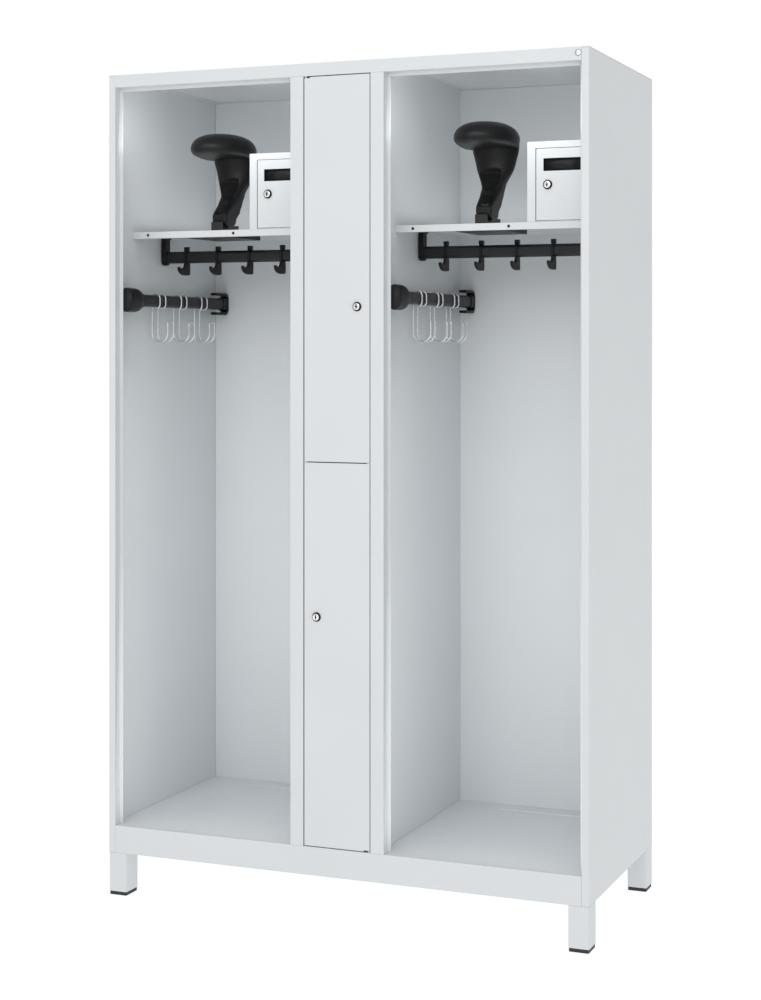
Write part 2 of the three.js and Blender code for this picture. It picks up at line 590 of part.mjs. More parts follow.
// The front cup flares from the tube to an oval face behind the stop flange.
function frontCup() {
  const { x, z } = SIDE_RAIL;
  const front = STOP_BACK + GAP;
  const profile = [[0, 0], [1, 0], [0.95, 22], [0.84, 42], [0.74, 52], [0.6, 58], [0.58, 64], [0, 64]];
  const bell = new THREE.LatheGeometry(profile.map(([r, v]) => new THREE.Vector2(r, v)), 20);
  bell.scale(17.5, 1, 27.5).translate(x, front, z);
  const socket = oval(x, z, TUBE.width + 2 * GAP, TUBE.height + 2 * GAP);
  return cut(solid(bell), extrudeY(socket, [front + 5, front + 80], 6));
}

// The rear cradle is a C, open to the front, that holds the tube from above and below.
function rearCradle() {
  const { x, z } = SIDE_RAIL;
  const half = 27.2;
  const front = 184;
  const radius = 16;
  const outline = new THREE.Shape();
  outline.moveTo(front, z - half);
  outline.absarc(DEEP_END - radius, z - half + radius, radius, 1.5 * Math.PI, 2 * Math.PI);
  outline.absarc(DEEP_END - radius, z + half - radius, radius, 0, Math.PI / 2);
  outline.lineTo(front, z + half);
  outline.closePath();
  const inside = TUBE.height / 2 + GAP + 1;
  return cut(
    solid(extrudeX(outline, [x - 9, x + 9], 6)),
    block([x - 10, x + 10], [front - 1, DEEP_END - 9], [z - inside, z + inside]),
  );
}

// A wire hook is one wire: both strands clip over the tube, hang down its wall side and end in a
// common J. The route starts and ends at the two free tips under the tube.
const WIRE = { radius: 1.8, strand: 13, reach: 10.3, drop: 95.5, bend: 20.7, tip: 48 };

function wireHook() {
  const { radius, strand, reach, drop, bend, tip } = WIRE;
  const shoulder = TUBE.height / 2 - TUBE.width / 2;
  const around = (middleX, middleZ, r, degrees) => {
    const angle = THREE.MathUtils.degToRad(degrees);
    return [middleX + r * Math.cos(angle), middleZ + r * Math.sin(angle)];
  };
  const oneStrand = [
    ...[-60, -30, 0].map((angle) => around(0, -shoulder, reach, angle)),
    ...[0, 45, 90, 135, 180].map((angle) => around(0, shoulder, reach, angle)),
    [-reach, -drop / 2],
    ...[180, 225, 270, 315, 360].map((angle) => around(bend - reach, bend - drop, bend, angle)),
    [2 * bend - reach, tip - 6 - drop],
  ];
  const tipEnd = [2 * bend - reach, tip - drop];
  const route = [
    ...oneStrand.map(([x, z]) => new THREE.Vector3(x, -strand, z)),
    new THREE.Vector3(tipEnd[0], -strand * 0.6, tipEnd[1]),
    new THREE.Vector3(tipEnd[0], strand * 0.6, tipEnd[1]),
    ...oneStrand.map(([x, z]) => new THREE.Vector3(x, strand, z)).reverse(),
  ];
  const path = new THREE.CatmullRomCurve3(route, false, 'centripetal');
  const corners = [0, 1, 2, 3, 4, 5].map((i) => around(0, 0, radius, i * 60));
  return new THREE.ExtrudeGeometry(polygon(corners), { steps: 58, extrudePath: path });
}

// ---- One open compartment with its fittings, in its own frame ----
function compartment(name, side) {
  const group = new THREE.Group();
  group.position.x = side * COMPARTMENT_X;
  group.add(piece(`${name}_shelf`, shelf(), lightGrey));

  group.add(piece(`${name}_valuables_box`, valuablesBox(), lightGrey));
  group.add(piece(`${name}_valuables_door`, valuablesDoor(), lightGrey));
  const camBack = BOX_RETURN + 0.6 + BOX_LOCK.camThick;
  const lock = piece(`${name}_valuables_lock`, lockPlug(BOX_LOCK, SHELF_FRONT, camBack), chrome);
  lock.position.set(BOX_LOCK_PLACE.x, 0, BOX_LOCK_PLACE.z);
  group.add(lock);

  group.add(piece(`${name}_holder_channel`, holderChannel(), blackTube));
  const holder = new THREE.Group();
  holder.position.x = HOLDER.x;
  holder.add(piece(`${name}_holder_foot`, holderFoot(), blackPlastic));
  holder.add(piece(`${name}_holder_arm`, holderArm(), blackPlastic));
  const pad = piece(`${name}_holder_pad`, holderPad(), blackPlastic);
  pad.position.y = PAD.y;
  holder.add(pad);
  group.add(holder);

  group.add(piece(`${name}_hook_rail`, hookRail(), blackTube));
  for (let i = 0; i < 5; i += 1) {
    const hook = piece(`${name}_hook_${i + 1}`, slidingHook(), blackPlastic);
    hook.position.x = (i - 2) * RAIL.hookPitch;
    group.add(hook);
  }

  group.add(piece(`${name}_side_rail`, sideRail(), blackTube));
  group.add(piece(`${name}_rail_cup`, frontCup(), blackPlastic));
  group.add(piece(`${name}_rail_cradle`, rearCradle(), blackPlastic));
  for (let i = 0; i < 3; i += 1) {
    const hook = piece(`${name}_wire_hook_${i + 1}`, wireHook(), zincWire);
    hook.position.set(SIDE_RAIL.x, SIDE_RAIL.firstHookY + i * SIDE_RAIL.hookPitch, SIDE_RAIL.z);
    group.add(hook);
  }
  return group;
}

// ---- Whole locker ----
const locker = new THREE.Group();
for (const [name, side] of SIDES) {
  locker.add(piece(`${name}_side_panel`, sidePanel(side), lightGrey));
  locker.add(piece(`${name}_divider`, divider(side), lightGrey));
  locker.add(compartment(name, side));
}
locker.add(piece('top_panel', topPanel(), lightGrey));
locker.add(piece('floor_panel', floorPanel(), lightGrey));
locker.add(piece('back_panel', backPanel(), lightGrey));
locker.add(piece('middle_floor', middleFloor(), lightGrey));
locker.add(legs());
locker.add(doors());

export default locker;
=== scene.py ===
"""Looks of the firefighter gear locker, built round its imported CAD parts. Metres, +Z up, front to -Y."""

import math

import bmesh
import bpy
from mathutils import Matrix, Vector


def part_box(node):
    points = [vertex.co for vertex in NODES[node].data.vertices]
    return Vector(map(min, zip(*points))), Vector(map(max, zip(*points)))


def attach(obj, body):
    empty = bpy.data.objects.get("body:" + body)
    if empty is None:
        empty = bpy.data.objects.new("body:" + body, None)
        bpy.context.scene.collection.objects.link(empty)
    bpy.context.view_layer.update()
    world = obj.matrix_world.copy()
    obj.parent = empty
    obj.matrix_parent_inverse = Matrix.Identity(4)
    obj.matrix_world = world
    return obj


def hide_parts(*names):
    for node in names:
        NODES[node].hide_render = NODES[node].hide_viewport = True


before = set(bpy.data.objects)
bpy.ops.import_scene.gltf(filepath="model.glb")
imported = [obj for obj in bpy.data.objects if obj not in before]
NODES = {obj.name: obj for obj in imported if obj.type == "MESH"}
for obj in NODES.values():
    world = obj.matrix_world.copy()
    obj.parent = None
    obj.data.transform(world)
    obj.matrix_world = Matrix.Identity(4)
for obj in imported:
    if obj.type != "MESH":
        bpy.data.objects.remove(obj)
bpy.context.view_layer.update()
MM = 0.001
SIDES = ("left", "right")
CARCASS = "locker"


def middle(node):
    low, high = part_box(node)
    return (low + high) / 2


CAD_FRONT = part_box("top_panel")[0].y
COMPARTMENT_X = {side: middle(f"{side}_shelf").x for side in SIDES}

# ---- Camera, light and floor ----
LONG_SIDE_MM = 36
LENS_MM = 65.2
CAMERA_PLACE = (1.632, -3.7918, 1.237)
CAMERA_TURN = math.radians(21.117)
CAMERA_SHIFT = (-0.0707, -0.1532)
WORLD_LIGHTING = 0.72
FLOOR_HALF = 40
FLOOR_GLOW = 0.84


def make_camera():
    data = bpy.data.cameras.new("camera")
    data.sensor_width = LONG_SIDE_MM
    data.lens = LENS_MM
    data.shift_x, data.shift_y = CAMERA_SHIFT
    camera = bpy.data.objects.new("camera", data)
    camera.location = CAMERA_PLACE
    camera.rotation_euler = (math.radians(90), 0, CAMERA_TURN)
    bpy.context.scene.collection.objects.link(camera)
    bpy.context.scene.camera = camera


def area_light(name, place, target, size, power, seen=True):
    data = bpy.data.lights.new(name, "AREA")
    data.shape = "RECTANGLE"
    data.size, data.size_y = size
    data.energy = power
    light = bpy.data.objects.new(name, data)
    light.location = place
    aim = Vector(target) - Vector(place)
    light.rotation_euler = aim.to_track_quat("-Z", "Y").to_euler()
    light.visible_camera = seen
    bpy.context.scene.collection.objects.link(light)


def white_world(lighting):
    """White where the camera looks past the locker, and a little darker as a light."""
    world = bpy.data.worlds.new("studio")
    bpy.context.scene.world = world
    world.use_nodes = True
    nodes, links = world.node_tree.nodes, world.node_tree.links
    background = nodes["Background"]
    background.inputs["Color"].default_value = (1, 1, 1, 1)
    path = nodes.new("ShaderNodeLightPath")
    strength = nodes.new("ShaderNodeMapRange")
    strength.inputs["To Min"].default_value = lighting
    strength.inputs["To Max"].default_value = 1.0
    links.new(path.outputs["Is Camera Ray"], strength.inputs["Value"])
    links.new(strength.outputs["Result"], background.inputs["Strength"])


def white_floor():
    """A bright sweep that the camera can't tell from the background, with a faint shadow."""
    mesh = bpy.data.meshes.new("floor")
    half = FLOOR_HALF
    corners = [(-half, -half, 0), (half, -half, 0), (half, half, 0), (-half, half, 0)]
    mesh.from_pydata(corners, [], [(0, 1, 2, 3)])
    paint = principled("floor_paint", (0.3, 0.3, 0.3), roughness=1.0, specular=0.0)
    shader = paint.node_tree.nodes["Principled BSDF"]
    shader.inputs["Emission Color"].default_value = (1, 1, 1, 1)
    shader.inputs["Emission Strength"].default_value = FLOOR_GLOW
    mesh.materials.append(paint)
    floor = bpy.data.objects.new("floor", mesh)
    bpy.context.scene.collection.objects.link(floor)


def make_stage():
    """Even, soft studio light, with fill lights in the open compartments that the camera can't see."""
    bpy.context.scene.view_settings.view_transform = "Standard"
    white_world(WORLD_LIGHTING)
    white_floor()
    area_light("front_softbox", (0.6, -4.2, 2.9), (0, -0.25, 1.3), (3.2, 2.2), 46)
    wide, mouth, back = 0.42, -0.235, 0.25
    for side in SIDES:
        x = COMPARTMENT_X[side]
        area_light(f"{side}_gear_fill", (x, mouth, 0.68), (x, back, 0.66), (wide, 1.0), 0.72, seen=False)
        area_light(f"{side}_helmet_fill", (x, mouth, 1.745), (x, back, 1.70), (wide, 0.13), 0.24, seen=False)
        area_light(f"{side}_ceiling_fill", (x, 0.05, 1.512), (x, 0.05, 1.8), (wide, 0.34), 0.36, seen=False)


# ---- Materials ----
NOISE_LOW, NOISE_HIGH = 0.3, 0.7
# The Mix node's colour sockets go by number, because its number and vector sockets have the same names.
MIX_FACTOR, MIX_A, MIX_B, MIX_RESULT = 0, 6, 7, 2


def principled(name, colour, roughness, metallic=0.0, specular=0.5):
    material = bpy.data.materials.new(name)
    material.use_nodes = True
    shader = material.node_tree.nodes["Principled BSDF"]
    shader.inputs["Base Color"].default_value = (*colour, 1)
    shader.inputs["Roughness"].default_value = roughness
    shader.inputs["Metallic"].default_value = metallic
    shader.inputs["Specular IOR Level"].default_value = specular
    return material


def noise(material, scale, detail):
    """A noise texture in the part's own frame; scale is features per metre."""
    nodes, links = material.node_tree.nodes, material.node_tree.links
    coordinates = nodes.get("Texture Coordinate") or nodes.new("ShaderNodeTexCoord")
    texture = nodes.new("ShaderNodeTexNoise")
    texture.inputs["Scale"].default_value = scale
    texture.inputs["Detail"].default_value = detail
    links.new(coordinates.outputs["Object"], texture.inputs["Vector"])
    return texture.outputs["Fac"]


def spread(material, factor, low, high):
    """Stretches the middle of a noise's range over low to high."""
    nodes, links = material.node_tree.nodes, material.node_tree.links
    mapped = nodes.new("ShaderNodeMapRange")
    mapped.inputs["From Min"].default_value = NOISE_LOW
    mapped.inputs["From Max"].default_value = NOISE_HIGH
    mapped.inputs["To Min"].default_value = low
    mapped.inputs["To Max"].default_value = high
    links.new(factor, mapped.inputs["Value"])
    return mapped.outputs["Result"]


def vary_colour(material, factor, amount):
    """Lightens and darkens the base colour by up to that share."""
    nodes, links = material.node_tree.nodes, material.node_tree.links
    shader = nodes["Principled BSDF"]
    base = Vector(shader.inputs["Base Color"].default_value[:3])
    mixed = nodes.new("ShaderNodeMix")
    mixed.data_type = "RGBA"
    mixed.inputs[MIX_A].default_value = (*(base * (1 - amount)), 1)
    mixed.inputs[MIX_B].default_value = (*(base * (1 + amount)), 1)
    links.new(spread(material, factor, 0, 1), mixed.inputs[MIX_FACTOR])
    links.new(mixed.outputs[MIX_RESULT], shader.inputs["Base Color"])


def vary_roughness(material, factor, low, high):
    shader = material.node_tree.nodes["Principled BSDF"]
    material.node_tree.links.new(spread(material, factor, low, high), shader.inputs["Roughness"])


def add_bump(material, factor, height):
    nodes, links = material.node_tree.nodes, material.node_tree.links
    bump = nodes.new("ShaderNodeBump")
    bump.inputs["Distance"].default_value = height
    bump.inputs["Strength"].default_value = 1.0
    links.new(factor, bump.inputs["Height"])
    links.new(bump.outputs["Normal"], nodes["Principled BSDF"].inputs["Normal"])


def powder_coat(name, colour, roughness, grain, height, specular=0.5):
    """Baked powder paint: a fine grain and a slightly uneven gloss."""
    material = principled(name, colour, roughness, specular=specular)
    vary_colour(material, noise(material, 5, 3), 0.012)
    vary_roughness(material, noise(material, 60, 3), roughness - 0.04, roughness + 0.04)
    add_bump(material, noise(material, grain, 2), height)
    return material


def moulded_plastic(name, colour, roughness, grain, height, specular=0.3):
    """Plastic from a spark-eroded mould: a fine matt grain."""
    material = principled(name, colour, roughness, specular=specular)
    vary_colour(material, noise(material, 40, 3), 0.08)
    vary_roughness(material, noise(material, 200, 3), roughness - 0.05, roughness + 0.05)
    add_bump(material, noise(material, grain, 3), height)
    return material


def plated_metal(name, colour, roughness, grain, height):
    material = principled(name, colour, roughness, metallic=1.0)
    vary_colour(material, noise(material, 300, 3), 0.04)
    vary_roughness(material, noise(material, 500, 3), roughness - 0.05, roughness + 0.07)
    add_bump(material, noise(material, grain, 2), height)
    return material


PAINT = powder_coat("light_grey_powder_coat", (0.66, 0.686, 0.702), 0.42, 900, 0.05 * MM)
TUBE_PAINT = powder_coat("black_powder_coat", (0.013, 0.0135, 0.0145), 0.38, 1100, 0.04 * MM, 0.3)
PLASTIC = moulded_plastic("black_moulded_plastic", (0.006, 0.0062, 0.0066), 0.42, 2200, 0.03 * MM, 0.25)
FOOT_PLASTIC = moulded_plastic("foot_plastic", (0.03, 0.031, 0.034), 0.5, 2200, 0.03 * MM)
ZINC = plated_metal("zinc_plating", (0.78, 0.79, 0.80), 0.28, 1500, 0.02 * MM)
CHROME = plated_metal("chrome_plating", (0.88, 0.88, 0.89), 0.12, 1500, 0.005 * MM)
FOOT_MOULDING = moulded_plastic("dark_grey_moulded_plastic", (0.016, 0.0165, 0.0175), 0.5, 2200, 0.03 * MM)
KEYWAY = moulded_plastic("keyway_shadow", (0.01, 0.01, 0.01), 0.7, 2200, 0.03 * MM)


# ---- Mesh helpers ----
def rings(bm, loops, caps=True):
    """Joins loops of points, all with the same number of points, into one closed skin."""
    made = [[bm.verts.new(point) for point in loop] for loop in loops]
    count = len(made[0])
    for near, far in zip(made, made[1:]):
        for i in range(count):
            j = (i + 1) % count
            bm.faces.new((near[i], near[j], far[j], far[i]))
    if caps:
        bm.faces.new(made[0])
        bm.faces.new(made[-1])


AXES = {
    "x": lambda u, v, along: (along, u, v),
    "y": lambda u, v, along: (u, along, v),
    "z": lambda u, v, along: (u, v, along),
}


def prism(bm, outline, axis, low, high):
    """A straight extrusion: the outline is in the two other axes, in the order of x, y, z."""
    rings(bm, [[AXES[axis](u, v, along) for u, v in outline] for along in (low, high)])


def block(bm, x, y, z):
    prism(bm, [(x[0], y[0]), (x[1], y[0]), (x[1], y[1]), (x[0], y[1])], "z", *z)


def arc(centre_u, centre_v, radius, start, end, steps):
    """Points of an arc, from the start angle to the end angle in degrees."""
    angles = [math.radians(start + (end - start) * i / steps) for i in range(steps + 1)]
    return [(centre_u + radius * math.cos(a), centre_v + radius * math.sin(a)) for a in angles]


def turned(bm, axis, centre, profile, sides):
    """A turned piece: the profile holds (radius, place along the axis) from one end to the other."""
    loops = []
    for radius, along in profile:
        ring = arc(*centre, radius, 0, 360, sides)[:-1]
        loops.append([AXES[axis](u, v, along) for u, v in ring])
    rings(bm, loops)


def circle(sides):
    """Points of a unit circle, each one once."""
    return arc(0, 0, 1, 0, 360, sides)[:-1]


def oval(centre_u, centre_v, width, height, steps=16):
    """An outline with straight sides along v and round ends."""
    radius = width / 2
    straight = height / 2 - radius
    return [*arc(centre_u, centre_v + straight, radius, 0, 180, steps),
            *arc(centre_u, centre_v - straight, radius, 180, 360, steps)]


def smooth_path(points, steps):
    """A Catmull-Rom curve through the points, as a list of vectors."""
    points = [Vector(p) for p in points]
    padded = [2 * points[0] - points[1], *points, 2 * points[-1] - points[-2]]
    path = []
    for a, b, c, d in zip(padded, padded[1:], padded[2:], padded[3:]):
        for i in range(steps):
            t = i / steps
            path.append(0.5 * (2 * b + (c - a) * t + (2 * a - 5 * b + 4 * c - d) * t**2
                               + (3 * b - a - 3 * c + d) * t**3))
    return [*path, points[-1]]


def smooth_line(points, steps):
    """The same curve through pairs, for an outline or a profile."""
    return [(p.x, p.y) for p in smooth_path([(u, v, 0) for u, v in points], steps)]


# Share of the wire's radius, and how far ahead of its last point, in radii.
DOME = [(0.25, 0.97), (0.7, 0.72), (1.0, 0.0)]


def sweep(bm, path, radius, sides):
    """A round wire along a path, with domed ends."""
    tangents = [(after - before).normalized() for before, after in
                zip([path[0], *path[:-1]], [*path[1:], path[-1]])]
    across = tangents[0].orthogonal().normalized()
    loops = []
    last = len(path) - 1
    for i, (point, tangent) in enumerate(zip(path, tangents)):
        across = (across - tangent * across.dot(tangent)).normalized()
        other = tangent.cross(across)
        if i == 0:
            rows = [(share, -ahead) for share, ahead in DOME]
        elif i == last:
            rows = [(share, ahead) for share, ahead in reversed(DOME)]
        else:
            rows = [(1.0, 0.0)]
        for share, ahead in rows:
            centre = point + tangent * ahead * radius
            loops.append([centre + radius * share * (across * math.cos(a) + other * math.sin(a))
                          for a in (2 * math.pi * k / sides for k in range(sides))])
    rings(bm, loops)


def mesh_in_metres(name, bm, material):
    """Turns a bmesh drawn in millimetres into a smooth mesh in metres."""
    bmesh.ops.recalc_face_normals(bm, faces=bm.faces)
    bmesh.ops.scale(bm, vec=(MM, MM, MM), verts=bm.verts)
    mesh = bpy.data.meshes.new(name)
    bm.to_mesh(mesh)
    bm.free()
    mesh.materials.append(material)
    mesh.shade_smooth()
    return mesh


def place(name, mesh, at, body, slot, replaces=()):
    """Sets a mesh at a point in metres as a piece of the object that rides on a body."""
    piece = bpy.data.objects.new(name, mesh)
    piece.location = at
    bpy.context.scene.collection.objects.link(piece)
    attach(piece, body)
    if replaces:
        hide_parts(*replaces)
    return piece


def scratch(bm):
    """A loose object in millimetres, to shape with modifiers before it becomes a piece."""
    bmesh.ops.recalc_face_normals(bm, faces=bm.faces)
    mesh = bpy.data.meshes.new("scratch")
    bm.to_mesh(mesh)
    bm.free()
    thing = bpy.data.objects.new("scratch", mesh)
    bpy.context.scene.collection.objects.link(thing)
    return thing


def combine(thing, other, operation):
    """Cuts, joins or intersects with the other scratch object, which is used up."""
    boolean = thing.modifiers.new("boolean", "BOOLEAN")
    boolean.operation = operation
    boolean.solver = "EXACT"
    boolean.use_self = True
    boolean.object = other
    keep_evaluated(thing)
    bpy.data.objects.remove(other)


def moulded(name, thing, material, voxel, passes, keep):
    """Melts a scratch object into one smooth skin and keeps that share of its faces."""
    remesh = thing.modifiers.new("one_skin", "REMESH")
    remesh.mode = "VOXEL"
    remesh.voxel_size = voxel
    smooth = thing.modifiers.new("soft_edges", "SMOOTH")
    smooth.factor = 0.5
    smooth.iterations = passes
    fewer = thing.modifiers.new("fewer", "DECIMATE")
    fewer.ratio = keep
    keep_evaluated(thing)
    bm = bmesh.new()
    bm.from_mesh(thing.data)
    bpy.data.objects.remove(thing)
    return mesh_in_metres(name, bm, material)


def round_edges(piece, width, segments=3, angle=35):
    """Rounds every sharp edge and keeps the flat faces flat."""
    bevel = piece.modifiers.new("rounded_edges", "BEVEL")
    bevel.width = width
    bevel.segments = segments
    bevel.limit_method = "ANGLE"
    bevel.angle_limit = math.radians(angle)
    normals = piece.modifiers.new("flat_faces", "WEIGHTED_NORMAL")
    normals.keep_sharp = True
    return piece


def keep_evaluated(piece):
    """Applies the piece's modifiers to its mesh."""
    depsgraph = bpy.context.evaluated_depsgraph_get()
    piece.data = bpy.data.meshes.new_from_object(piece.evaluated_get(depsgraph))
    piece.modifiers.clear()


def set_finish(node_name, material):
    """Gives a CAD node that stays in the picture its material."""
    node = NODES[node_name]
    node.data.materials.clear()
    node.data.materials.append(material)
    return node


# ---- Carcass, doors and boxes: the CAD sheets with rounded edges ----
SHEET_NODES = [
    "top_panel", "floor_panel", "back_panel", "middle_floor", "upper_door", "lower_door",
    *[f"{side}_{part}" for side in SIDES
      for part in ("side_panel", "divider", "shelf", "valuables_box", "valuables_door")],
    *[f"{end}_{side}_leg" for end in ("front", "rear") for side in SIDES],
]
EDGE_ROUND = 0.45 * MM
WELD_DISTANCE = 0.01 * MM
FLAT_WITHIN = math.radians(1)


def finish_sheets():
    for name in SHEET_NODES:
        node = set_finish(name, PAINT)
        weld = node.modifiers.new("weld", "WELD")
        weld.merge_threshold = WELD_DISTANCE
        flat = node.modifiers.new("flat", "DECIMATE")
        flat.decimate_type = "DISSOLVE"
        flat.angle_limit = FLAT_WITHIN
        round_edges(node, EDGE_ROUND, segments=2)
    for end in ("front", "rear"):
        for side in SIDES:
            node = set_finish(f"{end}_{side}_foot_cap", FOOT_PLASTIC)
            round_edges(node, EDGE_ROUND, segments=2)


# ---- Helmet holder, in millimetres: y and z as in the CAD, x from the holder's middle ----
PIVOT_Y = -10
PIVOT_Z = 1535
FORK = {"cheek_radius": 18, "half_gap": 9.3, "slot_top": 1554, "bridge_bottom": 1533}
FOOT = {"half": 17.5, "front": -33, "back": 38, "bottom": 1502, "top": 1512.5}
FOOT_WALL = {"top": 1530, "gap": 0.9}
KNUCKLE = {"half": 8.8, "radius": 14.5, "pin_radius": 4, "pin_half": 18.8}
PAD = {"half_width": 70, "half_depth": 98, "y": -3, "bottom": 1682, "height": 54, "widest": 15}
# The pad's rim runs straight down at the rear: that comes in from here, over this much, up to this share.
PAD_REAR = {"start": -0.25, "over": 0.65, "share": 0.985}

# Sections of the arm: height, middle y, half width, half depth, and squareness (2 is an ellipse).
ARM_SECTIONS = [
    (1505, -1, 19.1, 27, 8), (1532, -1, 19.1, 27, 8), (1543, 2, 19.4, 30.5, 8), (1552, 10, 19.7, 33, 8),
    (1562, 18, 20.6, 30.5, 6), (1571, 26, 21.8, 28, 5), (1582, 33, 23.2, 28, 3.4),
    (1593, 40.5, 24.8, 28.5, 2.7), (1604, 43, 27.7, 28, 2.6), (1615, 47, 32.8, 29, 2.4),
    (1632, 53.4, 41.6, 31, 2), (1653, 56.3, 47.4, 33, 2), (1675, 56, 53, 38, 2), (1686, 56, 54, 39, 2),
]


def squared_ring(half_u, half_v, squareness):
    """A rounded loop between an ellipse and a rectangle."""
    power = 2 / squareness
    return [(half_u * math.copysign(abs(u) ** power, u), half_v * math.copysign(abs(v) ** power, v))
            for u, v in circle(72)]


def arm_mesh():
    """The arm sweeps back from its fork and flares up to the pad, with a shallow recess in front."""
    first = smooth_path([(z, y, width) for z, y, width, _, _ in ARM_SECTIONS], 5)
    second = smooth_path([(z, depth, square) for z, _, _, depth, square in ARM_SECTIONS], 5)
    bm = bmesh.new()
    rings(bm, [[(x, y + at.y, at.x) for x, y in squared_ring(at.z, more.y, max(2, more.z))]
               for at, more in zip(first, second)])
    arm = scratch(bm)

    heel = [*arc(PIVOT_Y, PIVOT_Z, FORK["cheek_radius"], 180, 270, 12), (10, 1520), (27, 1532), (44, 1546),
            (150, 1560), (150, 1700), (-60, 1700), (-60, 1552), (PIVOT_Y - FORK["cheek_radius"], 1543)]
    bm = bmesh.new()
    prism(bm, heel, "x", -70, 70)
    combine(arm, scratch(bm), "INTERSECT")

    recess = [(-30, 1575), (-4, 1575), (14, 1592), (24, 1608), (34, 1628), (24, 1638), (-30, 1638)]
    bm = bmesh.new()
    prism(bm, recess, "x", -40, 23)
    combine(arm, scratch(bm), "DIFFERENCE")

    gap = (-FORK["half_gap"], FORK["half_gap"])
    bm = bmesh.new()
    block(bm, gap, (-25, 80), (1490, FORK["slot_top"]))
    block(bm, gap, (-60, -24), (1490, FORK["bridge_bottom"]))
    combine(arm, scratch(bm), "DIFFERENCE")
    return moulded("holder_arm", arm, PLASTIC, voxel=0.9, passes=3, keep=0.3)


def pad_mesh():
    """An oval cushion-shaped cap: its rim is undercut in front and runs straight down at the rear."""
    profile = smooth_line([(0.62, 0), (0.80, 0.8), (0.94, 6), (1.0, PAD["widest"]), (0.975, 27), (0.85, 40),
                           (0.58, 50), (0.26, 53.4), (0.001, PAD["height"])], 5)
    loops = []
    for share, height in profile:
        ring = []
        for u, v in circle(96):
            rear = max(0.0, v - PAD_REAR["start"]) / PAD_REAR["over"] if height < PAD["widest"] else 0.0
            out = max(share, share + (PAD_REAR["share"] - share) * min(1.0, rear))
            ring.append((PAD["half_width"] * out * u, PAD["half_depth"] * out * v + PAD["y"],
                         PAD["bottom"] + height))
        loops.append(ring)
    bm = bmesh.new()
    rings(bm, loops)
    pad = scratch(bm)

    slot = [*arc(22, -92, 62, 77, 103, 12), *reversed(arc(22, -86, 50, 74, 106, 12))]
    top = PAD["bottom"] + PAD["height"]
    bm = bmesh.new()
    prism(bm, slot, "z", top - 9, top + 10)
    combine(pad, scratch(bm), "DIFFERENCE")
    return moulded("holder_pad", pad, PLASTIC, voxel=1.0, passes=2, keep=0.35)


def foot_mesh():
    """The foot on the shelf: a plate, a front wall, and the knuckle that the fork turns on."""
    half, front, back, bottom, top = (FOOT[key] for key in ("half", "front", "back", "bottom", "top"))
    plate = [(front, bottom), (back, bottom), (back, 1524), (24, 1519), (-6, top), (front, top)]
    wall_back = PIVOT_Y - FORK["cheek_radius"] - FOOT_WALL["gap"]
    bm = bmesh.new()
    prism(bm, plate, "x", -half, half)
    block(bm, (-half, 12), (front, wall_back), (1510, FOOT_WALL["top"]))
    foot = scratch(bm)

    # Below the pivot the knuckle draws in at the front, where the fork's bridge comes down as it tilts.
    radius = KNUCKLE["radius"]
    knuckle = [(PIVOT_Y - 10, 1512), *arc(PIVOT_Y, PIVOT_Z, radius, 225, 0, 30), (PIVOT_Y + radius, 1512)]
    bm = bmesh.new()
    prism(bm, knuckle, "x", -KNUCKLE["half"], KNUCKLE["half"])
    combine(foot, scratch(bm), "UNION")

    pin = [(KNUCKLE["pin_radius"], -KNUCKLE["pin_half"]), (KNUCKLE["pin_radius"], KNUCKLE["pin_half"])]
    bm = bmesh.new()
    turned(bm, "x", (PIVOT_Y, PIVOT_Z), pin, 32)
    combine(foot, scratch(bm), "UNION")
    return moulded("holder_foot", foot, FOOT_MOULDING, voxel=0.7, passes=3, keep=0.4)


def make_holders():
    shapes = {"arm": arm_mesh(), "pad": pad_mesh(), "foot": foot_mesh()}
    for side in SIDES:
        at = (middle(f"{side}_holder_foot").x, 0, 0)
        for part, mesh in shapes.items():
            body = CARCASS if part == "foot" else f"{side}_holder"
            place(f"{side}_moulded_{part}", mesh, at, body, "black_plastic", [f"{side}_holder_{part}"])
        round_edges(set_finish(f"{side}_holder_channel", TUBE_PAINT), EDGE_ROUND, segments=2)


# ---- Rails ----
TUBE = {"width": 15, "height": 28, "wall": 1.5}
RAIL_Y = -15
RAIL_Z = 1448.5
HOOK_TUBE_HALF = 223
SIDE_RAIL_Z = 1343.5
BRACKET = {"half": 10.5, "inner": 219, "outer": 231, "top": 1500}
CUP = {"front": -228.5, "half_width": 17.5, "half_height": 27.5}
CRADLE = {"front": 184, "rear": 246.5, "half": 27.2, "wall": 6.5, "round": 16, "half_width": 9}
TUBE_CAP = {"width": 19, "height": 34, "front": 219, "rear": 236.4}


def tube_mesh(name, axis, centre, low, high):
    """An oval steel tube, open at its ends."""
    outer = oval(*centre, TUBE["width"], TUBE["height"])
    bore = oval(*centre, TUBE["width"] - 2 * TUBE["wall"], TUBE["height"] - 2 * TUBE["wall"])
    bm = bmesh.new()
    loops = [[AXES[axis](u, v, along) for u, v in outline]
             for outline, along in ((outer, low), (outer, high), (bore, high), (bore, low), (outer, low))]
    rings(bm, loops, caps=False)
    bmesh.ops.remove_doubles(bm, verts=bm.verts, dist=0.001)
    return mesh_in_metres(name, bm, TUBE_PAINT)


